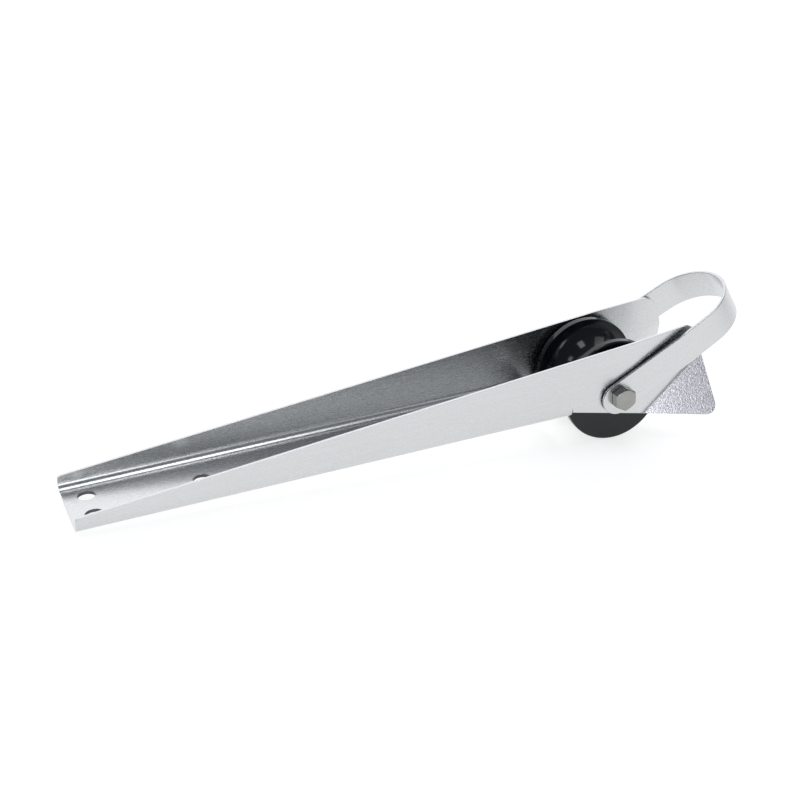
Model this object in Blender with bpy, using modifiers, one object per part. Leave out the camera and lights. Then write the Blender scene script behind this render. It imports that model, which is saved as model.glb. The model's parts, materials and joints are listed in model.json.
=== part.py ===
"""Stainless steel anchor bow roller with a swinging bail.

A folded sheet channel is bolted to the deck. At its bow end a plastic roller turns on a bolt between
two flared cheeks, and a flat steel bail swings on the same bolt outside the cheeks.
+X points to the bow, +Y to port and +Z up. The origin is on the deck face, midway between the two
aft deck holes.
"""

import math

import bmesh
import bpy
from mathutils import Matrix, Vector

MM = 0.001
GAP = 0.3 * MM  # clearance kept between pieces that touch

# Channel sheet
SHEET = 2.0 * MM
HALF_WIDTH = 27.5 * MM  # centreline to the outside of a wall
FOLD_RADIUS = 6.5 * MM  # outside radius of the folds along the floor
TAIL_X = -13.0 * MM
WALL_AT_TAIL = 10.0 * MM
WALL_RISE = 0.0896  # height gained per length towards the bow
TAIL_CORNER = 3.0 * MM
FOLD_END_X = 285.5 * MM  # where the floor's edge strips stop beside the roller
RELIEF = 0.5 * MM  # notch between the fold's end and the cheek's lower edge

# Roller and bolt axis
AXIS_X = 317.0 * MM
AXIS_Z = 8.9 * MM
ROLLER_RADIUS = 32.0 * MM
SLOT_X = 282.0 * MM  # aft end of the slot that the roller turns in
SLOT_HALF = 23.0 * MM

# Cheeks, as flat outlines before they are bent
CHIN_START_Z = 4.1 * MM  # lower edge just ahead of the fold
CHIN_X = 379.6 * MM
CHIN_Z = -15.9 * MM
BROW_X = 371.0 * MM
CHIN_CORNER = 8.6 * MM
BROW_CORNER = 10.0 * MM
LIP_FROM_X = 331.5 * MM  # the lip's bend line starts at a corner of the lower edge
LIP_FROM_Z = -7.0 * MM
LIP_TO_X = 373.6 * MM  # and ends on the front edge
LIP_TO_Z = 26.4 * MM
LIP_ANGLE = math.radians(28.6)
LIP_RADIUS = 9.0 * MM
TOE_X = 325.6 * MM  # ahead of here the cheeks draw in slightly
TOE_ANGLE = math.radians(3.3)
TOE_RADIUS = 80.0 * MM

# Deck holes: a pair at the tail and one on the centreline
DECK_HOLE_RADIUS = 5.2 * MM
DECK_HOLE_SPREAD = 11.0 * MM
DECK_HOLE_FORWARD = 64.0 * MM

# Bail: a flat strap
STRAP = 2.0 * MM
STRAP_WIDTH = 19.5 * MM
ARM_OUTER = 30.5 * MM  # centreline to the outside of an arm at the bolt
ARM_TAIL = 12.5 * MM  # strap beyond the bolt
ARM_STRAIGHT = 50.0 * MM
LOOP_CENTRE = 68.6 * MM
LOOP_RADIUS = 29.2 * MM
BAIL_LEAN = math.radians(26.0)  # above horizontal, resting on the lips

# Fasteners
BOLT_RADIUS = 4.0 * MM
BOLT_HOLE = BOLT_RADIUS + GAP
ACROSS_FLATS = 13.0 * MM
HEAD_HEIGHT = 5.3 * MM
BOLT_LENGTH = 75.0 * MM
NUT_HEX = 6.4 * MM
NUT_COLLAR = 1.7 * MM
COLLAR_RADIUS = 6.1 * MM
INSERT_OUTER = 5.2 * MM
WASHER_RADIUS = 8.0 * MM
WASHER_THICK = 1.6 * MM

# Roller bearing
SLEEVE_RADIUS = 6.0 * MM
THRUST_RADIUS = 11.0 * MM
THRUST_THICK = 1.5 * MM
FLANGE_HALF = 21.3 * MM
RIM_INNER = 16.7 * MM  # from here inwards the roller is grooved
GROOVE_DEPTH = 14.0 * MM

TURN_STEPS = 48


def clear_scene():
    for old in list(bpy.data.objects):
        bpy.data.objects.remove(old, do_unlink=True)


def new_collection(name):
    made = bpy.data.collections.new(name)
    bpy.context.scene.collection.children.link(made)
    return made


def new_material(name, colour, roughness, metallic):
    made = bpy.data.materials.new(name)
    made.use_nodes = True
    shader = made.node_tree.nodes["Principled BSDF"]
    shader.inputs["Base Color"].default_value = (*colour, 1.0)
    shader.inputs["Roughness"].default_value = roughness
    shader.inputs["Metallic"].default_value = metallic
    return made


def add_object(name, bm, collection, material=None, smooth=30.0):
    """Turn a bmesh into an object, smooth except at edges sharper than the given angle."""
    mesh = bpy.data.meshes.new(name)
    bm.to_mesh(mesh)
    bm.free()
    made = bpy.data.objects.new(name, mesh)
    collection.objects.link(made)
    if material:
        mesh.materials.append(material)
    mesh.shade_smooth()
    mesh.set_sharp_from_angle(angle=math.radians(smooth))
    return made


def boolean(target, cutter, operation="DIFFERENCE"):
    made = target.modifiers.new(cutter.name, "BOOLEAN")
    made.operation = operation
    made.solver = "EXACT"
    made.object = cutter


def as_cutter(made):
    made.hide_render = True
    made.display_type = "WIRE"
    return made


def solidify(target, thickness, offset):
    made = target.modifiers.new("thickness", "SOLIDIFY")
    made.thickness = thickness
    made.offset = offset
    made.use_even_offset = True


def mirror_y(target):
    made = target.modifiers.new("port half", "MIRROR")
    made.use_axis = (False, True, False)
    made.use_clip = True
    made.merge_threshold = 0.00001


def turned(name, profile, collection, material=None):
    """Turn a closed or axis-to-axis profile of (radius, height) points about local Z."""
    bm = bmesh.new()
    verts = [bm.verts.new((radius, 0, height)) for radius, height in profile]
    for start, end in zip(verts, verts[1:]):
        bm.edges.new((start, end))
    if profile[0][0] > 0:
        bm.edges.new((verts[-1], verts[0]))
    made = add_object(name, bm, collection, material)
    screw = made.modifiers.new("turn", "SCREW")
    screw.steps = TURN_STEPS
    screw.render_steps = TURN_STEPS
    screw.use_merge_vertices = True
    screw.merge_threshold = 0.000001
    screw.use_smooth_shade = True
    return made


def ring_profile(inner, outer, low, high):
    return [(outer, high), (outer, low), (inner, low), (inner, high)]


def on_axis(made):
    """Lay local Z along the bolt axis, with local +Z to starboard."""
    made.location = (AXIS_X, 0, AXIS_Z)
    made.rotation_euler = (math.radians(90), 0, 0)
    return made


def bend_sheet(bm, start, across, outward, radius, angle, steps):
    """Bend everything past a line: cut a strip of parallel lines and roll it round an arc."""
    length = radius * abs(angle)
    first = start - across * length / 2
    for step in range(steps + 1):
        bmesh.ops.bisect_plane(
            bm,
            geom=bm.verts[:] + bm.edges[:] + bm.faces[:],
            dist=1e-7,
            plane_co=first + across * length * step / steps,
            plane_no=across,
        )
    lift = outward if angle > 0 else -outward
    for vert in bm.verts:
        reach = (vert.co - first).dot(across)
        if reach <= 1e-7:
            continue
        turn = min(reach, length) / radius
        rest = max(0.0, reach - length)
        forward = radius * math.sin(turn) + rest * math.cos(turn)
        rise = radius * (1 - math.cos(turn)) + rest * math.sin(turn)
        height = (vert.co - first).dot(outward)
        base = vert.co - across * reach - outward * height
        normal = outward * math.cos(turn) - across * math.sin(turn) * (1 if angle > 0 else -1)
        vert.co = base + across * forward + lift * rise + normal * height


def wall_top(x):
    return WALL_AT_TAIL + WALL_RISE * (x - TAIL_X)


def cheek_sheet(bm):
    """Starboard wall and cheek as one flat face, corners rounded, then the two bends."""
    outline = [
        (TAIL_X, FOLD_RADIUS),
        (FOLD_END_X, FOLD_RADIUS),
        (FOLD_END_X + RELIEF, FOLD_RADIUS),
        (FOLD_END_X + RELIEF, CHIN_START_Z),
        (LIP_FROM_X, LIP_FROM_Z),
        (CHIN_X, CHIN_Z),
        (BROW_X, wall_top(BROW_X)),
        (TAIL_X, WALL_AT_TAIL),
    ]
    verts = [bm.verts.new((x, -HALF_WIDTH, z)) for x, z in outline]
    bm.faces.new(verts)
    for vert, offset, steps in (
        (verts[5], CHIN_CORNER, 8),
        (verts[6], BROW_CORNER, 8),
        (verts[7], TAIL_CORNER, 5),
    ):
        bmesh.ops.bevel(
            bm, geom=[vert], offset=offset, segments=steps, profile=0.5, affect="VERTICES", material=-1
        )
    outward = Vector((0, -1, 0))
    lip_start = Vector((LIP_FROM_X, -HALF_WIDTH, LIP_FROM_Z))
    lip_along = (Vector((LIP_TO_X, -HALF_WIDTH, LIP_TO_Z)) - lip_start).normalized()
    lip_across = Vector((lip_along.z, 0, -lip_along.x))
    bend_sheet(bm, lip_start, lip_across, outward, LIP_RADIUS, LIP_ANGLE, 6)
    toe_start = Vector((TOE_X + TOE_RADIUS * TOE_ANGLE / 2, -HALF_WIDTH, 0))
    bend_sheet(bm, toe_start, Vector((1, 0, 0)), outward, TOE_RADIUS, -TOE_ANGLE, 2)


def floor_sheet(bm):
    """Roll the wall's lower edge round the fold and carry it to the centreline."""
    edge = [
        e
        for e in bm.edges
        if all(abs(v.co.z - FOLD_RADIUS) < 1e-6 and v.co.x < FOLD_END_X + 1e-6 for v in e.verts)
    ]
    spun = bmesh.ops.spin(
        bm,
        geom=edge + list({v for e in edge for v in e.verts}),
        cent=(0, -HALF_WIDTH + FOLD_RADIUS, FOLD_RADIUS),
        axis=(1, 0, 0),
        angle=math.radians(90),
        steps=6,
    )
    last = [item for item in spun["geom_last"] if isinstance(item, bmesh.types.BMEdge)]
    grown = bmesh.ops.extrude_edge_only(bm, edges=last)
    inner = [item for item in grown["geom"] if isinstance(item, bmesh.types.BMVert)]
    bmesh.ops.translate(bm, verts=inner, vec=(0, HALF_WIDTH - FOLD_RADIUS, 0))
    for vert in inner:
        vert.co.y = 0.0


def cylinder_cutter(name, radius, depth, place, collection, axis="Z"):
    bm = bmesh.new()
    bmesh.ops.create_cone(
        bm, cap_ends=True, segments=TURN_STEPS, radius1=radius, radius2=radius, depth=depth
    )
    if axis == "Y":
        bmesh.ops.rotate(bm, verts=bm.verts, matrix=Matrix.Rotation(math.radians(90), 3, "X"))
    made = add_object(name, bm, collection)
    made.location = place
    return as_cutter(made)


def slot_cutter(collection):
    """Box through the floor with rounded aft corners, where the roller turns."""
    bm = bmesh.new()
    bmesh.ops.create_cube(bm, size=1.0)
    length = 60 * MM
    bmesh.ops.scale(bm, verts=bm.verts, vec=(length, 2 * SLOT_HALF, 12 * MM))
    upright = [e for e in bm.edges if abs((e.verts[0].co - e.verts[1].co).normalized().z) > 0.9]
    bmesh.ops.bevel(
        bm, geom=upright, offset=4 * MM, segments=5, profile=0.5, affect="EDGES", material=-1
    )
    made = add_object("slot_cutter", bm, collection)
    made.location = (SLOT_X + length / 2, 0, 0)
    return as_cutter(made)


def make_channel(parts, cutters, material):
    bm = bmesh.new()
    cheek_sheet(bm)
    floor_sheet(bm)
    bmesh.ops.recalc_face_normals(bm, faces=bm.faces)
    if max(bm.faces, key=lambda face: face.calc_area()).normal.z > 0.5:
        bmesh.ops.reverse_faces(bm, faces=bm.faces)
    largest_wall = max(bm.faces, key=lambda face: face.calc_area() * abs(face.normal.y))
    if largest_wall.normal.y > 0:
        bmesh.ops.reverse_faces(bm, faces=bm.faces)
    channel = add_object("channel", bm, parts, material, 25.0)
    mirror_y(channel)
    solidify(channel, SHEET, -1)
    boolean(channel, slot_cutter(cutters))
    holes = [(0, -DECK_HOLE_SPREAD), (0, DECK_HOLE_SPREAD), (DECK_HOLE_FORWARD, 0)]
    for number, (x, y) in enumerate(holes, 1):
        cutter = cylinder_cutter(f"deck_hole_{number}", DECK_HOLE_RADIUS, 12 * MM, (x, y, 0), cutters)
        boolean(channel, cutter)
    place = (AXIS_X, 0, AXIS_Z)
    boolean(channel, cylinder_cutter("cheek_hole", BOLT_HOLE, 80 * MM, place, cutters, "Y"))


def roller_profile():
    """Half profiles mirrored about mid-length: hub, flange face, rounded rim and round groove."""
    hub_end = HALF_WIDTH - SHEET - GAP - THRUST_THICK - GAP
    round_off = 1.2 * MM
    side = [
        (SLEEVE_RADIUS + GAP, hub_end),
        (THRUST_RADIUS, hub_end),
        (THRUST_RADIUS, FLANGE_HALF),
        (ROLLER_RADIUS - round_off, FLANGE_HALF),
    ]
    for step in range(1, 4):
        turn = math.radians(30 * step)
        radius = ROLLER_RADIUS - round_off + round_off * math.sin(turn)
        side.append((radius, FLANGE_HALF - round_off + round_off * math.cos(turn)))
    groove_steps = 22
    groove = []
    for step in range(groove_steps + 1):
        turn = math.pi * step / groove_steps
        depth = GROOVE_DEPTH * math.sin(turn) ** 0.8 if 0 < step < groove_steps else 0.0
        groove.append((ROLLER_RADIUS - depth, RIM_INNER * math.cos(turn)))
    return side + groove + [(radius, -height) for radius, height in reversed(side)]


def make_bail(parts, cutters, material):
    """Half the strap as a ribbon along its path, mirrored and thickened inwards."""
    away = math.hypot(LOOP_CENTRE - ARM_STRAIGHT, ARM_OUTER)
    seen = math.atan2(ARM_OUTER, LOOP_CENTRE - ARM_STRAIGHT)
    closing = seen - math.asin(LOOP_RADIUS / away)
    path = [(-ARM_TAIL, -ARM_OUTER), (ARM_STRAIGHT, -ARM_OUTER)]
    steps = 20
    first = -math.pi / 2 + closing
    for step in range(steps + 1):
        turn = first * (1 - step / steps)
        path.append((LOOP_CENTRE + LOOP_RADIUS * math.cos(turn), LOOP_RADIUS * math.sin(turn)))
    bm = bmesh.new()
    low = [bm.verts.new((x, y, -STRAP_WIDTH / 2)) for x, y in path]
    high = [bm.verts.new((x, y, STRAP_WIDTH / 2)) for x, y in path]
    for a, b, c, d in zip(low, low[1:], high[1:], high):
        bm.faces.new((a, b, c, d))
    bmesh.ops.bevel(
        bm,
        geom=[low[0], high[0]],
        offset=STRAP_WIDTH / 2 - 0.01 * MM,
        segments=10,
        profile=0.5,
        affect="VERTICES",
        material=-1,
    )
    bail = add_object("bail", bm, parts, material)
    bail.location = (AXIS_X, 0, AXIS_Z)
    bail.rotation_euler = (0, -BAIL_LEAN, 0)
    mirror_y(bail)
    solidify(bail, STRAP, -1)
    place = (AXIS_X, 0, AXIS_Z)
    boolean(bail, cylinder_cutter("bail_hole", BOLT_HOLE, 80 * MM, place, cutters, "Y"))


def hex_prism(name, low, high, collection, material=None):
    bm = bmesh.new()
    corner = ACROSS_FLATS / 2 / math.cos(math.radians(30))
    bmesh.ops.create_cone(
        bm, cap_ends=True, segments=6, radius1=corner, radius2=corner, depth=high - low
    )
    bmesh.ops.translate(bm, verts=bm.verts, vec=(0, 0, (high + low) / 2))
    return on_axis(add_object(name, bm, collection, material))


def chamfer_cutter(name, low, high, collection):
    """Turned blank that a hexagon is cut back to: its face at the high end is a circle."""
    corner = ACROSS_FLATS / 2 / math.cos(math.radians(30))
    face = ACROSS_FLATS / 2 * 0.95
    wide = corner + 1 * MM
    drop = (wide - face) * math.tan(math.radians(30))
    profile = [(0, high), (face, high), (wide, high - drop), (wide, low - 1 * MM), (0, low - 1 * MM)]
    return as_cutter(on_axis(turned(name, profile, collection)))


def make_bolt(parts, cutters, material):
    seat = ARM_OUTER + GAP
    bolt = hex_prism("pivot_bolt", seat, seat + HEAD_HEIGHT, parts, material)
    blank = chamfer_cutter("head_blank", seat, seat + HEAD_HEIGHT, cutters)
    boolean(bolt, blank, "INTERSECT")
    tip = seat - BOLT_LENGTH
    point = 1.0 * MM
    profile = [
        (0, seat + 1 * MM),
        (BOLT_RADIUS, seat + 1 * MM),
        (BOLT_RADIUS, tip + point),
        (BOLT_RADIUS - point, tip),
        (0, tip),
    ]
    shank = as_cutter(on_axis(turned("shank", profile, cutters)))
    boolean(bolt, shank, "UNION")


def make_nut(parts, cutters, steel, plastic):
    """Washer, hexagon nut with a round collar, and the plastic ring seated in the collar."""
    washer_high = -(ARM_OUTER + GAP)
    washer_low = washer_high - WASHER_THICK
    washer = ring_profile(BOLT_HOLE, WASHER_RADIUS, washer_low, washer_high)
    on_axis(turned("nut_washer", washer, parts, steel))
    high = washer_low - GAP
    low = high - NUT_HEX
    nut = hex_prism("lock_nut", low, high, parts, steel)
    end = low - NUT_COLLAR
    collar = [(0, high - 1 * MM), (COLLAR_RADIUS, high - 1 * MM), (COLLAR_RADIUS, end), (0, end)]
    boolean(nut, as_cutter(on_axis(turned("collar", collar, cutters))), "UNION")
    bore = [
        (0, high + 1 * MM),
        (BOLT_HOLE, high + 1 * MM),
        (BOLT_HOLE, low),
        (INSERT_OUTER + GAP, low),
        (INSERT_OUTER + GAP, end - 1 * MM),
        (0, end - 1 * MM),
    ]
    boolean(nut, as_cutter(on_axis(turned("nut_bore", bore, cutters))))
    insert = ring_profile(BOLT_HOLE, INSERT_OUTER, end + 0.1 * MM, low - GAP)
    on_axis(turned("nut_insert_ring", insert, parts, plastic))


def make_roller(parts, black, white, steel):
    on_axis(turned("bow_roller", roller_profile(), parts, black))
    cheek = HALF_WIDTH - SHEET - GAP
    sleeve = ring_profile(BOLT_HOLE, SLEEVE_RADIUS, -cheek, cheek)
    on_axis(turned("roller_sleeve", sleeve, parts, steel))
    bore = SLEEVE_RADIUS + GAP
    starboard = ring_profile(bore, THRUST_RADIUS, cheek - THRUST_THICK, cheek)
    on_axis(turned("thrust_washer_starboard", starboard, parts, white))
    port = ring_profile(bore, THRUST_RADIUS, -cheek, -cheek + THRUST_THICK)
    on_axis(turned("thrust_washer_port", port, parts, white))


def main():
    clear_scene()
    parts = new_collection("bow_roller_with_bail")
    cutters = new_collection("cutters")
    satin = new_material("satin_stainless", (0.66, 0.67, 0.66), 0.28, 1.0)
    bright = new_material("bright_stainless", (0.6, 0.6, 0.58), 0.2, 1.0)
    black = new_material("black_plastic", (0.012, 0.012, 0.014), 0.18, 0.0)
    white = new_material("white_plastic", (0.75, 0.75, 0.72), 0.45, 0.0)
    make_channel(parts, cutters, satin)
    make_bail(parts, cutters, satin)
    make_roller(parts, black, white, bright)
    make_bolt(parts, cutters, bright)
    make_nut(parts, cutters, bright, white)


main()
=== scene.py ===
# %% [markdown]
# # A bow roller with a swinging bail
# A bow roller sits at the front edge of a boat's deck. The anchor line runs along its folded steel
# channel, over a plastic roller, and down to the water. A steel loop, the bail, keeps the line from
# jumping off the roller. This lesson gives each piece of a measured model its real shape and
# finish.

import json
import math

import bmesh
import bpy
from mathutils import Matrix, Vector


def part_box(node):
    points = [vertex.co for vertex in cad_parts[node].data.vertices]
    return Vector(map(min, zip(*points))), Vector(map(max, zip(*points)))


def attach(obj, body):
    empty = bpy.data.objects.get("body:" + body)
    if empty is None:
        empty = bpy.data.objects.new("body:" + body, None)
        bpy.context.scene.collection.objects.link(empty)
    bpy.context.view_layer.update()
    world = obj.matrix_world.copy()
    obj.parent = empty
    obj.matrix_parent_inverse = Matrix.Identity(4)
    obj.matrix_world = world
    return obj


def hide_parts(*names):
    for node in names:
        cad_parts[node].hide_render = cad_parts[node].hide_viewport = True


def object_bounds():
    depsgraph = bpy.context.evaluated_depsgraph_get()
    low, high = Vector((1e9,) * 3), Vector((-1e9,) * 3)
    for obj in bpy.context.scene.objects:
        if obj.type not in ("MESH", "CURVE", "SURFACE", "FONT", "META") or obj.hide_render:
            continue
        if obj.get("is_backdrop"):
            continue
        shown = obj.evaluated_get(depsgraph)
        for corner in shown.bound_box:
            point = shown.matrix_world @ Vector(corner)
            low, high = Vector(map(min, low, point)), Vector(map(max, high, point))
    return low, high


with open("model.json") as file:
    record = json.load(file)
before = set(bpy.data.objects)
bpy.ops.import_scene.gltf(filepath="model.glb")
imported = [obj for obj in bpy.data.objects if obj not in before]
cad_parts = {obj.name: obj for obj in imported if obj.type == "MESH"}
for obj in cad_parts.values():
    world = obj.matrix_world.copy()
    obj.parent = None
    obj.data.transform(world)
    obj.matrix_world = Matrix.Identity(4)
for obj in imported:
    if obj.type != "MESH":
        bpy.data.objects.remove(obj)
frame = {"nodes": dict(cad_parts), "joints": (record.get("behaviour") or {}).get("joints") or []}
measured_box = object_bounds()
MM = 0.001
for node in sorted(frame["nodes"]):
    low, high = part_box(node)
    print(f"{node}: {', '.join(f'{size / MM:.1f}' for size in high - low)} mm")

# %% [markdown]
# ## The bolt axis
# The roller and the bail turn on one bolt that lies across the boat. Every turned piece is made
# round the Z axis, as on a lathe, and then laid along the bolt with its positive end to starboard.

# %% Where the axis is
hinges = {joint["name"]: joint for joint in frame["joints"]}
pivot = Vector(hinges["roller_spin"]["pos_m"])
along_bolt = Matrix.Translation(pivot) @ Matrix.Rotation(math.radians(90), 4, "X")
print("bolt axis at", [round(value / MM, 2) for value in pivot], "mm")

# %% [markdown]
# ## From a bmesh to a piece
# A bmesh is Blender's workshop for one mesh. When its shape is finished, its edges are softened,
# because no real edge is perfectly sharp and the thin bright line along an edge is what makes metal
# look solid. A Weighted Normal modifier then keeps the large flat faces flat in the light.

# %% Helpers that finish a piece
def soften(bm, width, sharper_than=30.0, steps=3):
    """Round every edge that is sharper than an angle in degrees."""
    limit = math.radians(sharper_than)
    sharp = [edge for edge in bm.edges if edge.is_manifold and edge.calc_face_angle() > limit]
    bmesh.ops.bevel(
        bm, geom=sharp, offset=width, segments=steps, profile=0.5, affect="EDGES", material=-1,
        clamp_overlap=True,
    )
    return bm


def clean(bm):
    """Merge doubles and turn every face outwards."""
    bmesh.ops.remove_doubles(bm, verts=bm.verts, dist=1e-6)
    bmesh.ops.recalc_face_normals(bm, faces=bm.faces)
    return bm


def loose_object(name, bm):
    """Turn a bmesh into an object in the scene, and free the bmesh."""
    mesh = bpy.data.meshes.new(name)
    bm.to_mesh(mesh)
    bm.free()
    made = bpy.data.objects.new(name, mesh)
    bpy.context.scene.collection.objects.link(made)
    return made


def piece(name, bm, body, materials, smooth=35.0):
    """Put a finished bmesh on its body, in place of the measured node of that name."""
    open_edges = sum(not edge.is_manifold for edge in bm.edges)
    made = loose_object(name + "_detailed", bm)
    for material in materials:
        made.data.materials.append(material)
    made.data.shade_smooth()
    made.data.set_sharp_from_angle(angle=math.radians(smooth))
    weighted = made.modifiers.new("flat faces stay flat", "WEIGHTED_NORMAL")
    weighted.keep_sharp = True
    weighted.weight = 100
    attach(made, body)
    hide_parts(name)
    print(f"{made.name}: {len(made.data.polygons)} faces, {open_edges} open edges")
    return made


# %% Helpers that run a modifier and keep its result
def run_modifier(bm, kind, **settings):
    """The shape that a modifier makes of a bmesh, as a new bmesh."""
    source = loose_object("workpiece", bm)
    modifier = source.modifiers.new(kind.lower(), kind)
    for name, value in settings.items():
        setattr(modifier, name, value)
    evaluated = source.evaluated_get(bpy.context.evaluated_depsgraph_get())
    made = bmesh.new()
    made.from_mesh(evaluated.to_mesh())
    evaluated.to_mesh_clear()
    bpy.data.objects.remove(source, do_unlink=True)
    return made


def carve(bm, tool, operation="DIFFERENCE"):
    """Cut one solid with another, as a punch or a file does."""
    cutter = loose_object("cutter", tool)
    made = run_modifier(bm, "BOOLEAN", operation=operation, solver="EXACT", object=cutter)
    bpy.data.objects.remove(cutter, do_unlink=True)
    return made


# %% [markdown]
# ## Turned shapes
# Rings, the roller and the bolt's shank are round. A lathe makes them from a profile, and Spin does
# the same: a chain of points (radius, height) goes a full turn round Z, and its ends are merged.

# %% The lathe
def turned(profile, steps=96):
    """A solid of revolution round Z. A profile that leaves the axis is closed on itself."""
    bm = bmesh.new()
    chain = [bm.verts.new((radius, 0, height)) for radius, height in profile]
    edges = [bm.edges.new(pair) for pair in zip(chain, chain[1:])]
    if profile[0][0] > 0:
        edges.append(bm.edges.new((chain[-1], chain[0])))
    bmesh.ops.spin(
        bm, geom=chain + edges, cent=(0, 0, 0), axis=(0, 0, 1), angle=math.tau, steps=steps,
        use_merge=True,
    )
    return clean(bm)


def ring(inner, outer, low, high, edge):
    """A flat ring with rounded edges."""
    bm = turned([(outer, high), (outer, low), (inner, low), (inner, high)])
    return soften(bm, edge)


def lay_on_axis(bm):
    """Lay a shape made round Z along the bolt."""
    bmesh.ops.transform(bm, matrix=along_bolt, verts=bm.verts)
    return bm


# %% [markdown]
# ## Shader maths as Python
# A material is a tree of nodes. This class wraps one socket, so that `1 - mask` or
# `0.2 + grain * 3` adds the Math nodes by itself. Any other node comes from its `make` method.

# %% A socket that can be used in sums
class Signal:
    """One output socket of a material's node tree."""

    def __init__(self, tree, socket):
        self.tree = tree
        self.socket = socket

    def make(self, kind, settings=None, inputs=None, output=0):
        """Add a node: its settings first, then a value or a link for each named socket."""
        node = self.tree.nodes.new(kind)
        for name, value in (settings or {}).items():
            setattr(node, name, value)
        for name, value in (inputs or {}).items():
            if isinstance(value, Signal):
                self.tree.links.new(value.socket, node.inputs[name])
            else:
                node.inputs[name].default_value = value
        return Signal(self.tree, node.outputs[output])

    def maths(self, operation, left, right=0.0):
        return self.make("ShaderNodeMath", {"operation": operation}, {0: left, 1: right})

    def __add__(self, other):
        return self.maths("ADD", self, other)

    def __sub__(self, other):
        return self.maths("SUBTRACT", self, other)

    def __rsub__(self, other):
        return self.maths("SUBTRACT", other, self)

    def __mul__(self, other):
        return self.maths("MULTIPLY", self, other)

    __radd__ = __add__
    __rmul__ = __mul__

    def step(self, low, high):
        """0 below low, 1 above high, and a smooth rise between them."""
        inputs = {"Value": self, "From Min": low, "From Max": high}
        return self.make("ShaderNodeMapRange", {"interpolation_type": "SMOOTHSTEP"}, inputs)

    def noise(self, stretch, detail=2.0):
        """Noise with so many patches per metre along X, Y and Z, centred on 0."""
        inputs = {0: self, 1: stretch}
        place = self.make("ShaderNodeVectorMath", {"operation": "MULTIPLY"}, inputs)
        inputs = {"Vector": place, "Scale": 1.0, "Detail": detail}
        return self.make("ShaderNodeTexNoise", {}, inputs) - 0.5


# %% A material with one shader
def new_material(name, **constants):
    """A new material, its shader, and where each point is on the object."""
    material = bpy.data.materials.new(name)
    material.use_nodes = True
    shader = material.node_tree.nodes["Principled BSDF"]
    for socket, value in constants.items():
        shader.inputs[socket.replace("_", " ")].default_value = value
    here = Signal(material.node_tree, None).make("ShaderNodeTexCoord", output="Object")
    return material, shader, here


def drive(shader, socket, signal):
    """Let a signal set one input of the shader."""
    signal.tree.links.new(signal.socket, shader.inputs[socket])


def mix_colours(signal, first, second):
    """First colour at 0 and second at 1."""
    inputs = {"Factor": signal, 6: (*first, 1.0), 7: (*second, 1.0)}
    settings = {"data_type": "RGBA", "clamp_factor": True}
    return signal.make("ShaderNodeMix", settings, inputs, output=2)


def bump(height, distance):
    """A normal from a height between 0 and 1, times a distance in metres."""
    inputs = {"Height": height, "Distance": distance, "Strength": 1.0}
    return height.make("ShaderNodeBump", {}, inputs)


# %% [markdown]
# ## Satin stainless steel
# The channel and the bail are rolled sheet with a fine satin grain that runs along the sheet. It
# reflects like a soft mirror. Fine noise stretched along X gives the grain its slight tilt and its
# slight change in roughness, and a slow noise gives the faint cloudiness of a handled sheet. Where
# a mask asks for sparkle, coarser noise tilts facets about a millimetre across and makes them
# rougher, and bright glints are painted into their colour.

# %% Satin steel
def satin_steel(name, turn=0.0, sparkle=None):
    """Satin sheet whose grain is turned about Y, with facets and painted glints where sparkle(here)
    is 1.
    """
    material, shader, here = new_material(name, Metallic=1.0)
    along = here.make("ShaderNodeMapping", {}, {"Vector": here, "Rotation": (0, turn, 0)})
    grain = along.noise((250, 1900, 1900), 3.0)
    cloud = along.noise((14, 30, 30), 2.0)
    lines = along.noise((20, 900, 900), 2.0)
    roughness = 0.27 + grain * 0.06 + cloud * 0.03 + lines * 0.03
    height = 0.5 + grain * 0.8 + lines * 0.2
    tint = 0.5 + grain * 0.6 + cloud * 0.4 + lines * 0.5
    colour = mix_colours(tint, (0.60, 0.61, 0.615), (0.70, 0.71, 0.715))
    if sparkle:
        facets = along.noise((1050, 1050, 1050), 1.0)
        mask = sparkle(here)
        height = height + facets * mask * 16
        roughness = roughness + facets * mask * 0.12
        # The bright flake colours are painted glints, standing in for the light that the lip's
        # grain catches.
        painted_glints = mix_colours(0.5 + facets * 2.2, (0.64, 0.62, 0.68), (0.97, 0.96, 1.0))
        colour = mask.make(
            "ShaderNodeMix", {"data_type": "RGBA"}, {"Factor": mask, 6: colour, 7: painted_glints}, output=2
        )
    drive(shader, "Roughness", roughness)
    drive(shader, "Base Color", colour)
    drive(shader, "Normal", bump(height, 0.004 * MM))
    return material


# %% [markdown]
# ## Cut edges
# The rim of the sheet is deburred after cutting, so it is brighter and smoother than the face. The
# walls of the punched holes are torn rather than cut and stay dull. Their near-black colour is
# painted shade: it stands in for the shadowed floor under the object, which these walls mirror.

# %% Burnished rims, and torn hole walls painted dark as shade
def edge_steel(name, dark, light, roughness, scratches):
    """A cut edge between two colours, with scratches so many millimetres deep."""
    material, shader, here = new_material(name, Metallic=1.0)
    marks = here.noise((400, 1600, 1600), 2.0)
    patches = here.noise((90, 90, 90), 2.0)
    drive(shader, "Roughness", roughness + marks * 0.1 + patches * 0.08)
    drive(shader, "Base Color", mix_colours(0.5 + marks + patches, dark, light))
    drive(shader, "Normal", bump(0.5 + marks, scratches * MM))
    return material


burnished = edge_steel("burnished edge", (0.78, 0.79, 0.79), (0.92, 0.92, 0.91), 0.2, 0.004)
# The torn wall's near-black colour is painted shade, for the dark floor under the object that the
# hole walls mirror.
torn_wall_painted_shade = edge_steel("torn edge", (0.05, 0.05, 0.055), (0.16, 0.16, 0.165), 0.42, 0.03)

# %% [markdown]
# ## The channel
# The channel is one sheet of 2 mm steel. Its walls rise towards the bow and end in cheeks that hold
# the roller. It is built in the order that a workshop would: a flat outline, rounded corners, the
# bend of the lip that flares out under the line, the fold along the floor, and the mirrored half.

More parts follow.
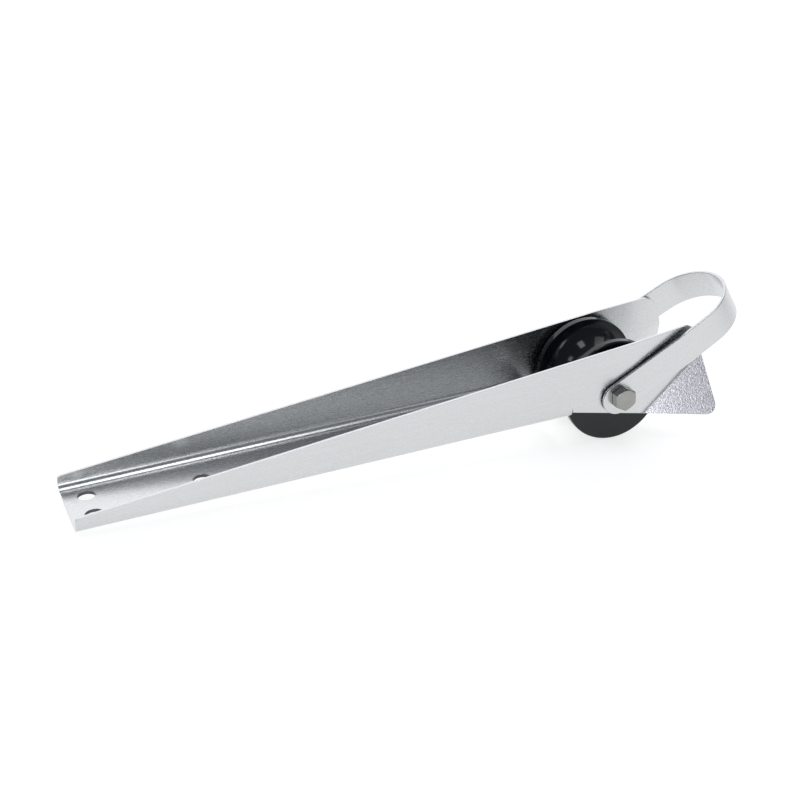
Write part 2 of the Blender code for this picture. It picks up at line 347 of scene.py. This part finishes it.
# %% Sizes of the sheet
SHEET = 2.0 * MM
HALF_WIDTH = 27.5 * MM
FOLD_RADIUS = 6.5 * MM
FOLD_END_X = 285.5 * MM
RELIEF = 0.2 * MM
channel_low, channel_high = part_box("channel")
TAIL_X = channel_low.x
WALL_AT_TAIL = 10.0 * MM
WALL_RISE = 0.0896
CHIN_START_Z = 4.1 * MM
CHIN_X, CHIN_Z = 379.6 * MM, -15.9 * MM
BROW_X = 371.0 * MM
TOE_X = 325.6 * MM
TOE_RADIUS = 80.0 * MM
TOE_ANGLE = math.radians(3.3)
LIP_RADIUS = 9.0 * MM
LIP_ANGLE = math.radians(28.6)
LIP_FROM = Vector((331.5 * MM, -HALF_WIDTH, -7.0 * MM))
LIP_TO = Vector((373.6 * MM, -HALF_WIDTH, 26.4 * MM))
lip_along = (LIP_TO - LIP_FROM).normalized()
lip_across = Vector((lip_along.z, 0, -lip_along.x))
print("the channel runs from", round(TAIL_X / MM, 1), "mm to", round(channel_high.x / MM, 1), "mm")


# %% The flat outline
def cheek_outline():
    """The starboard wall and cheek as one flat face, with its corners rounded."""
    points = [
        (TAIL_X, FOLD_RADIUS),
        (FOLD_END_X, FOLD_RADIUS),
        (FOLD_END_X + RELIEF, FOLD_RADIUS),
        (FOLD_END_X + RELIEF, CHIN_START_Z),
        (LIP_FROM.x, LIP_FROM.z),
        (CHIN_X, CHIN_Z),
        (BROW_X, WALL_AT_TAIL + WALL_RISE * (BROW_X - TAIL_X)),
        (TAIL_X, WALL_AT_TAIL),
    ]
    bm = bmesh.new()
    corners = [bm.verts.new((x, -HALF_WIDTH, z)) for x, z in points]
    bm.faces.new(corners)
    for corner, reach, steps in ((5, 8.6, 14), (6, 10.0, 14), (7, 3.0, 8)):
        bmesh.ops.bevel(
            bm, geom=[corners[corner]], offset=reach * MM, segments=steps, profile=0.5,
            affect="VERTICES", material=-1,
        )
    return bm


# %% A bend
def bend(bm, start, across, radius, angle, steps):
    """Roll all that lies past a line round an arc. A positive angle bends to starboard."""
    outward = Vector((0, -1, 0))
    side = math.copysign(1, angle)
    length = radius * abs(angle)
    first = start - across * length / 2
    for step in range(steps + 1):
        everything = bm.verts[:] + bm.edges[:] + bm.faces[:]
        cut = first + across * length * step / steps
        bmesh.ops.bisect_plane(bm, geom=everything, dist=1e-7, plane_co=cut, plane_no=across)
    for vert in bm.verts:
        reach = (vert.co - first).dot(across)
        if reach > 1e-7:
            turn = min(reach, length) / radius
            rest = max(0.0, reach - length)
            forward = radius * math.sin(turn) + rest * math.cos(turn)
            rise = radius * (1 - math.cos(turn)) + rest * math.sin(turn)
            height = (vert.co - first).dot(outward)
            foot = vert.co - across * reach - outward * height
            tilted = outward * math.cos(turn) - across * math.sin(turn) * side
            vert.co = foot + across * forward + outward * side * rise + tilted * height


# %% The starboard half, bent
sheet = cheek_outline()
bend(sheet, LIP_FROM, lip_across, LIP_RADIUS, LIP_ANGLE, 12)
toe_from = Vector((TOE_X + TOE_RADIUS / 2 * TOE_ANGLE, -HALF_WIDTH, 0))
bend(sheet, toe_from, Vector((1, 0, 0)), TOE_RADIUS, -TOE_ANGLE, 4)
lower = [
    edge
    for edge in sheet.edges
    if all(abs(v.co.z - FOLD_RADIUS) < 1e-6 and v.co.x < FOLD_END_X + 1e-6 for v in edge.verts)
]
rolled = bmesh.ops.spin(
    sheet, geom=lower + list({v for edge in lower for v in edge.verts}),
    cent=(0, -HALF_WIDTH + FOLD_RADIUS, FOLD_RADIUS), axis=(1, 0, 0),
    angle=math.radians(90), steps=14,
)
last = [item for item in rolled["geom_last"] if isinstance(item, bmesh.types.BMEdge)]
grown = bmesh.ops.extrude_edge_only(sheet, edges=last)
for vert in [item for item in grown["geom"] if isinstance(item, bmesh.types.BMVert)]:
    vert.co.y = 0.0
print("one half of the sheet has", len(sheet.faces), "faces")

# %% Both halves, and the sheet's thickness
everything = sheet.verts[:] + sheet.edges[:] + sheet.faces[:]
bmesh.ops.mirror(sheet, geom=everything, matrix=Matrix.Identity(4), merge_dist=1e-5, axis="Y")
clean(sheet)
wall = min(sheet.faces, key=lambda face: face.calc_center_median().y * face.calc_area())
if wall.normal.y > 0:
    bmesh.ops.reverse_faces(sheet, faces=sheet.faces)
channel = run_modifier(
    sheet, "SOLIDIFY", thickness=SHEET, offset=-1, use_even_offset=True, material_offset_rim=1
)
print("the folded sheet has", len(channel.faces), "faces")


# %% [markdown]
# ## The openings
# Three deck holes, the bolt's two holes and the long slot for the roller are punched through the
# folded sheet. The holes for the deck screws have a broken edge that catches the light. A punch
# leaves its own finish on the wall it cuts: slot 1 of a sheet is its rim, and slot 2 a torn wall,
# whose near-black colour is painted shade.

# %% Punches
RIM, HOLE_WALL = 1, 2
BOLT_HOLE = 4.3 * MM
DECK_HOLE = 5.2 * MM
DECK_HOLES = [Vector((0, -11 * MM, 0)), Vector((0, 11 * MM, 0)), Vector((64 * MM, 0, 0))]


def round_punch(radius, depth):
    """A round punch across the axis Z, which leaves a torn wall painted dark as shade."""
    bm = bmesh.new()
    bmesh.ops.create_cone(
        bm, cap_ends=True, segments=96, radius1=radius, radius2=radius, depth=depth
    )
    for face in bm.faces:
        face.material_index = HOLE_WALL
    return bm


def slot_punch(length, half, corner):
    """A long punch with rounded corners, whose cut is deburred like the rim."""
    bm = bmesh.new()
    bmesh.ops.create_cube(bm, size=1.0)
    bmesh.ops.scale(bm, verts=bm.verts, vec=(length, 2 * half, 12 * MM))
    upright = [e for e in bm.edges if abs((e.verts[0].co - e.verts[1].co).normalized().z) > 0.9]
    bmesh.ops.bevel(
        bm, geom=upright, offset=corner, segments=10, profile=0.5, affect="EDGES", material=-1
    )
    for face in bm.faces:
        face.material_index = RIM
    return bm


# %% Punch the channel
slot = slot_punch(60 * MM, 23 * MM, 4 * MM)
bmesh.ops.translate(slot, verts=slot.verts, vec=(312 * MM, 0, 0))
channel = carve(channel, slot)
channel = carve(channel, lay_on_axis(round_punch(BOLT_HOLE, 80 * MM)))
for hole in DECK_HOLES:
    punch = round_punch(DECK_HOLE, 12 * MM)
    bmesh.ops.translate(punch, verts=punch.verts, vec=hole)
    channel = carve(channel, punch)
bmesh.ops.dissolve_limit(
    channel, angle_limit=math.radians(0.2), verts=channel.verts, edges=channel.edges
)
print("the punched channel has", len(channel.faces), "faces")

soften(channel, 0.3 * MM, 40.0)

# %% [markdown]
# ## The grain of the lips
# The outer faces of the two lips are rougher than the rest, and sparkle: their grain is tilted
# more, and bright glints are painted into its colour. Two distances find them: how far a point lies
# past the lip's bend line, and how far out it lies once the slant of the lip and the lean of the
# cheek are taken away, which tells the outer face from the inner one.

# %% A mask for the lips
def lip_sparkle(here):
    """1 on the outer faces of the flared lips, 0 behind their bend and on their inner faces."""
    line = here.make("ShaderNodeVectorMath", {"operation": "SUBTRACT"}, {0: here, 1: LIP_FROM})
    reach = line.make(
        "ShaderNodeVectorMath", {"operation": "DOT_PRODUCT"}, {0: line, 1: lip_across}, output=1
    )
    size = here.make("ShaderNodeVectorMath", {"operation": "ABSOLUTE"}, {0: here})
    toe_in = (math.tan(TOE_ANGLE), 1, 0)
    side = size.make(
        "ShaderNodeVectorMath", {"operation": "DOT_PRODUCT"}, {0: size, 1: toe_in}, output=1
    )
    outside = side - reach * math.tan(LIP_ANGLE) - TOE_X * math.tan(TOE_ANGLE)
    return reach.step(0.5 * MM, 2.5 * MM) * outside.step(25.8 * MM, 26.8 * MM)


channel_steel = satin_steel("channel steel", sparkle=lip_sparkle)
piece("channel", channel, "frame", [channel_steel, burnished, torn_wall_painted_shade])

# %% [markdown]
# ## The bail
# The bail is a flat strap bent into a loop, with round ends that hang on the bolt outside the
# cheeks. Half of the strap's path, seen from above, is drawn as a ribbon and mirrored. At rest the
# bail leans on the two lips.

# %% The strap's path
STRAP = 2.0 * MM
STRAP_WIDTH = 19.5 * MM
ARM_OUTER = 30.5 * MM
ARM_TAIL = 12.5 * MM
ARM_STRAIGHT = 50.0 * MM
LOOP_CENTRE = 68.6 * MM
LOOP_RADIUS = 29.2 * MM
LEAN = math.radians(26.0)
toward_arm = Vector((ARM_STRAIGHT - LOOP_CENTRE, -ARM_OUTER))
closing = math.atan2(ARM_OUTER, -toward_arm.x) - math.asin(LOOP_RADIUS / toward_arm.length)
sweep = math.pi / 2 - closing
print("the arms draw in by", round(math.degrees(closing), 1), "degrees before the loop")

# %% Bend the strap
strap = bmesh.new()
start = [strap.verts.new((LOOP_CENTRE + LOOP_RADIUS, 0, z * STRAP_WIDTH / 2)) for z in (-1, 1)]
nose = strap.edges.new(start)
rolled = bmesh.ops.spin(
    strap, geom=[*start, nose], cent=(LOOP_CENTRE, 0, 0), axis=(0, 0, 1), angle=-sweep, steps=40
)
for x in (ARM_STRAIGHT, -ARM_TAIL):
    last = rolled.get("geom_last", rolled.get("geom"))
    edge = [item for item in last if isinstance(item, bmesh.types.BMEdge)]
    rolled = bmesh.ops.extrude_edge_only(strap, edges=edge)
    for vert in [item for item in rolled["geom"] if isinstance(item, bmesh.types.BMVert)]:
        vert.co.x, vert.co.y = x, -ARM_OUTER
ends = [vert for vert in strap.verts if vert.co.x < -ARM_TAIL + 1e-6]
bmesh.ops.bevel(
    strap, geom=ends, offset=STRAP_WIDTH / 2 - 0.01 * MM, segments=20, profile=0.5,
    affect="VERTICES", material=-1,
)
everything = strap.verts[:] + strap.edges[:] + strap.faces[:]
bmesh.ops.mirror(strap, geom=everything, matrix=Matrix.Identity(4), merge_dist=1e-5, axis="Y")
clean(strap)
arm = min(strap.faces, key=lambda face: face.calc_center_median().y * face.calc_area())
if arm.normal.y > 0:
    bmesh.ops.reverse_faces(strap, faces=strap.faces)
bail = run_modifier(
    strap, "SOLIDIFY", thickness=STRAP, offset=-1, use_even_offset=True, material_offset_rim=1
)

# %% Hang it on the bolt
leaning = Matrix.Translation(pivot) @ Matrix.Rotation(-LEAN, 4, "Y")
bmesh.ops.transform(bail, matrix=leaning, verts=bail.verts)
bail = carve(bail, lay_on_axis(round_punch(BOLT_HOLE, 80 * MM)))
soften(bail, 0.35 * MM, 40.0)
bail_steel = satin_steel("bail steel", turn=LEAN)
piece("bail", bail, "bail", [bail_steel, burnished, torn_wall_painted_shade])

# %% [markdown]
# ## The roller
# The roller is turned from black plastic: two flanges with rounded rims, and a deep round groove
# between them that leads the line and the anchor's shank. It is glossy, with faint turning rings.

# %% The roller's profile
roller_low, roller_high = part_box("bow_roller")
ROLLER_RADIUS = (roller_high.z - roller_low.z) / 2
HUB_END = roller_high.y
SLEEVE_RADIUS = 6.0 * MM
THRUST_RADIUS = 11.0 * MM
FLANGE_HALF = 21.3 * MM
RIM_INNER = 16.7 * MM
GROOVE_DEPTH = 14.0 * MM
ROUND_OFF = 1.2 * MM
side = [
    (SLEEVE_RADIUS + 0.3 * MM, HUB_END),
    (THRUST_RADIUS, HUB_END),
    (THRUST_RADIUS, FLANGE_HALF),
]
for step in range(9):
    turn = math.radians(90 * step / 8)
    rise = ROUND_OFF * math.cos(turn) - ROUND_OFF
    side.append((ROLLER_RADIUS - ROUND_OFF + ROUND_OFF * math.sin(turn), FLANGE_HALF + rise))
print("the roller is", round(2 * ROLLER_RADIUS / MM, 1), "mm across")


# %% Turn the roller
def groove_point(share):
    """A point of the groove, from one rim at 0 to the other at 1."""
    turn = math.pi * share
    depth = GROOVE_DEPTH * max(0.0, math.sin(turn)) ** 0.8
    return ROLLER_RADIUS - depth, RIM_INNER * math.cos(turn)


groove = [groove_point(step / 72) for step in range(73)]
other_side = [(radius, -height) for radius, height in reversed(side)]
roller = lay_on_axis(turned(side + groove + other_side, 144))
print("the groove is", round(GROOVE_DEPTH / MM, 1), "mm deep")


# %% Black plastic with turning rings
def black_plastic(name):
    """Glossy plastic with faint rings about the bolt's axis."""
    material, shader, here = new_material(name, IOR=1.42)
    inputs = {"Vector": here, "Location": tuple(-pivot)}
    arm = here.make("ShaderNodeMapping", {}, inputs)
    flat = arm.make("ShaderNodeVectorMath", {"operation": "MULTIPLY"}, {0: arm, 1: (1, 0, 1)})
    radius = flat.make("ShaderNodeVectorMath", {"operation": "LENGTH"}, {0: flat}, output=1)
    rings = (radius * 9000).maths("SINE", radius * 9000)
    cloud = here.noise((90, 90, 90), 3.0)
    dust = here.noise((2500, 2500, 2500), 1.0)
    drive(shader, "Roughness", 0.13 + cloud * 0.08 + dust * 0.04)
    colour = mix_colours(0.5 + cloud, (0.005, 0.006, 0.008), (0.009, 0.010, 0.013))
    drive(shader, "Base Color", colour)
    drive(shader, "Normal", bump(0.5 + rings * 0.25 + dust * 0.3, 0.0015 * MM))
    return material


black = black_plastic("black plastic")
piece("bow_roller", roller, "roller", [black], 30.0)

# %% [markdown]
# ## Washers and sleeve
# A steel sleeve runs through the roller, and a white plastic washer stands at each end of it. The
# nut's steel washer lies outside the port arm. All are rings with slightly rounded edges.

# %% Bright steel and white plastic
def bright_steel(name):
    """Machined steel, with marks that run along the bolt."""
    material, shader, here = new_material(name, Metallic=1.0)
    marks = here.noise((1500, 300, 1500), 2.0)
    cloud = here.noise((160, 160, 160), 2.0)
    drive(shader, "Roughness", 0.2 + marks * 0.12 + cloud * 0.08)
    colour = mix_colours(0.5 + cloud + marks, (0.27, 0.27, 0.258), (0.38, 0.38, 0.366))
    drive(shader, "Base Color", colour)
    drive(shader, "Normal", bump(0.5 + marks, 0.006 * MM))
    return material


def white_plastic(name):
    """Dull white plastic."""
    material, shader, here = new_material(name, IOR=1.5)
    cloud = here.noise((220, 220, 220), 3.0)
    drive(shader, "Roughness", 0.45 + cloud * 0.15)
    drive(shader, "Base Color", mix_colours(0.5 + cloud, (0.70, 0.70, 0.66), (0.80, 0.80, 0.77)))
    drive(shader, "Normal", bump(0.5 + cloud, 0.02 * MM))
    return material


bright = bright_steel("bright steel")
white = white_plastic("white plastic")


# %% Rings on the bolt
def ring_in_place(node, inner, edge, material):
    """A ring as long as its measured node and as large as its box."""
    low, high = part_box(node)
    bm = ring(inner, (high.z - low.z) / 2, -high.y, -low.y, edge)
    return piece(node, lay_on_axis(bm), "frame", [material])


for node, inner, edge, slot, material in (
    ("roller_sleeve", BOLT_HOLE, 0.3 * MM, "bright_stainless", bright),
    ("thrust_washer_port", 6.3 * MM, 0.25 * MM, "white_plastic", white),
    ("thrust_washer_starboard", 6.3 * MM, 0.25 * MM, "white_plastic", white),
    ("nut_washer", BOLT_HOLE, 0.2 * MM, "bright_stainless", bright),
    ("nut_insert_ring", BOLT_HOLE, 0.15 * MM, "white_plastic", white),
):
    ring_in_place(node, inner, edge, material)

# %% [markdown]
# ## The bolt
# A hexagon bolt, 13 mm across its flats, holds everything. A lathe has cut its head's corners back
# to a circle, which leaves a curved edge on every flat. Its end has a real thread: the shank's
# points are pulled in where a spiral groove passes.

# %% Hexagon and blank
ACROSS_FLATS = 13.0 * MM
CORNER = ACROSS_FLATS / 2 / math.cos(math.radians(30))


def hexagon(low, high):
    """A hexagonal bar between two heights."""
    bm = bmesh.new()
    bmesh.ops.create_cone(
        bm, cap_ends=True, segments=6, radius1=CORNER, radius2=CORNER, depth=high - low
    )
    bmesh.ops.translate(bm, verts=bm.verts, vec=(0, 0, (high + low) / 2))
    return bm


def lathe_blank(low, high, both=False):
    """What a hexagon is cut back to: a disc with a 30 degree chamfer at one or both ends."""
    face = ACROSS_FLATS / 2 * 0.95
    wide = CORNER + 1 * MM
    drop = (wide - face) * math.tan(math.radians(30))
    bottom = [(wide, low - MM), (0, low - MM)]
    if both:
        bottom = [(wide, low + drop), (face, low), (0, low)]
    return turned([(0, high), (face, high), (wide, high - drop)] + bottom)


# %% The head and the threaded shank
bolt_low, bolt_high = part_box("pivot_bolt")
head_top, tip = -bolt_low.y, -bolt_high.y
HEAD_HEIGHT = 5.3 * MM
seat = head_top - HEAD_HEIGHT
head = carve(hexagon(seat, head_top), lathe_blank(seat, head_top), "INTERSECT")
soften(head, 0.15 * MM, 25.0)
BOLT_RADIUS = 4.0 * MM
PITCH = 1.25 * MM
THREAD = 22 * MM
THREAD_DEPTH = 0.14
rows = [(BOLT_RADIUS, tip + MM + THREAD * step / 144) for step in range(145)]
shank = turned(
    [(0, tip), (BOLT_RADIUS - MM, tip)] + rows + [(BOLT_RADIUS, seat + MM), (0, seat + MM)], 64
)
for vert in shank.verts:
    radius = vert.co.xy.length
    if radius > 0.9 * BOLT_RADIUS and vert.co.z < tip + MM + THREAD:
        turns = vert.co.z / PITCH - math.atan2(vert.co.y, vert.co.x) / math.tau
        groove = 1 - abs(2 * (turns % 1) - 1)
        fade = min(1.0, (tip + MM + THREAD - vert.co.z) / (2 * PITCH))
        scale = 1 - THREAD_DEPTH * fade * min(1.0, groove * 1.4)
        vert.co.x *= scale
        vert.co.y *= scale
bolt = lay_on_axis(carve(head, shank, "UNION"))
piece("pivot_bolt", bolt, "frame", [bright], 25.0)

# %% [markdown]
# ## The lock nut
# The nut has a hexagon and a round collar that holds a plastic ring, which grips the thread so that
# the bolt can turn in the roller without working loose.

# %% The nut
insert_low, insert_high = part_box("nut_insert_ring")
nut_low, nut_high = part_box("lock_nut")
near, far = -nut_low.y, -nut_high.y
NUT_HEIGHT = 6.4 * MM
shoulder = near - NUT_HEIGHT
nut = carve(hexagon(shoulder, near), lathe_blank(shoulder, near, True), "INTERSECT")
COLLAR = 6.1 * MM
collar = turned([
    (0, near - MM), (COLLAR, near - MM), (COLLAR, far + 0.5 * MM), (COLLAR - 0.5 * MM, far),
    (0, far),
])
nut = carve(nut, collar, "UNION")
insert_radius = (insert_high.z - insert_low.z) / 2 + 0.3 * MM
bore = turned([
    (0, near + MM), (BOLT_HOLE, near + MM), (BOLT_HOLE, shoulder), (insert_radius, shoulder),
    (insert_radius, far - MM), (0, far - MM),
])
nut = lay_on_axis(carve(nut, bore))
soften(nut, 0.12 * MM, 25.0, 2)
piece("lock_nut", nut, "frame", [bright], 25.0)

# %% [markdown]
# ## Floor
# The object stands on its roller and on the tail end of its channel, so the floor tilts a little
# against the channel's own base. The floor glows like a studio's light table, which leaves only a
# faint shadow.

# %% The floor
span = pivot.x - TAIL_X
tilt = 0.0
for _ in range(8):
    tilt = math.asin((ROLLER_RADIUS - pivot.z * math.cos(tilt)) / span)
ground = bmesh.new()
bmesh.ops.create_grid(ground, x_segments=2, y_segments=2, size=6.0)
bmesh.ops.rotate(ground, verts=ground.verts, matrix=Matrix.Rotation(tilt, 3, "Y"))
bmesh.ops.translate(ground, verts=ground.verts, vec=(TAIL_X, 0, -0.0002))
floor = loose_object("floor", ground)
paper, shader, here = new_material("white paper", Roughness=0.7, Emission_Strength=0.75)
shader.inputs["Emission Color"].default_value = (1.0, 1.0, 1.0, 1.0)
fibre = here.noise((60, 60, 60), 4.0)
drive(shader, "Base Color", mix_colours(0.5 + fibre, (0.50, 0.50, 0.50), (0.53, 0.53, 0.53)))
floor.data.materials.append(paper)
floor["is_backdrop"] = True
print("the floor tilts by", round(math.degrees(tilt), 2), "degrees")

# %% [markdown]
# ## Light
# Steel shows its surroundings more than its own colour. The light overhead draws the bright line
# along the fold, the wide one behind lights the floor of the channel, and the dark room in front
# gives the dark bands beside that line. The two at the sides shine on the roller and the bail, and
# a small card in front, aimed at the near lip, makes its grain sparkle.

# %% Soft lights and the room
def soft_light(name, place, target, size, radiance):
    """A rectangular light of the given brightness, turned to face its target."""
    data = bpy.data.lights.new(name, "AREA")
    data.shape = "RECTANGLE"
    data.size, data.size_y = size
    data.energy = radiance * math.pi * size[0] * size[1]
    made = bpy.data.objects.new(name, data)
    made.location = place
    made.rotation_euler = (Vector(place) - Vector(target)).to_track_quat("Z", "Y").to_euler()
    bpy.context.scene.collection.objects.link(made)
    return made


middle = (measured_box[0] + measured_box[1]) / 2
near_lip = Vector((0.375, -0.038, 0))
for name, aim, direction, distance, size, radiance in (
    ("overhead", middle, (0.06, 0.0, 0.99), 1.5, (0.8, 0.42), 3.4),
    ("left", middle, (-0.75, 0.25, 0.62), 1.7, (0.45, 0.45), 2.5),
    ("right", middle, (0.85, 0.25, 0.46), 1.7, (1.2, 1.2), 1.0),
    ("behind", middle, (0.1, 0.90, 0.42), 2.6, (4.2, 2.4), 1.12),
    ("front card", near_lip, (-0.245, -0.926, 0.262), 1.2, (0.34, 0.34), 3.4),
):
    soft_light(name, aim + Vector(direction) * distance, aim, size, radiance)
world = bpy.data.worlds.new("room")
world.use_nodes = True
world.node_tree.nodes["Background"].inputs["Color"].default_value = (0.19, 0.20, 0.225, 1.0)
bpy.context.scene.world = world
bpy.context.scene.view_settings.view_transform = "Standard"
print("five soft lights in a grey room")

# %% [markdown]
# ## Camera
# A long lens looks down on the starboard side from the tail end, turned slightly about its own
# axis.

# %% The camera
lens = bpy.data.cameras.new("camera")
lens.lens = 69.147
lens.clip_start, lens.clip_end = 0.01, 50.0
camera = bpy.data.objects.new("camera", lens)
right = Vector((0.92792, -0.36902, -0.0529))
up = Vector((0.20775, 0.39405, 0.8953))
back = Vector((-0.30954, -0.84175, 0.44231))
camera.matrix_world = Matrix.Translation((-0.09235, -0.75818, 0.42188)) @ Matrix(
    (right, up, back)
).transposed().to_4x4()
bpy.context.scene.collection.objects.link(camera)
bpy.context.scene.camera = camera
print("camera", round((camera.location - middle).length, 3), "m from the object")

# %% Compare the sizes and finish
shown_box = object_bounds()
for axis in range(3):
    wide = (shown_box[1][axis] - shown_box[0][axis]) / MM
    planned = (measured_box[1][axis] - measured_box[0][axis]) / MM
    print("XYZ"[axis], round(wide, 2), "mm shown,", round(planned, 2), "mm measured")
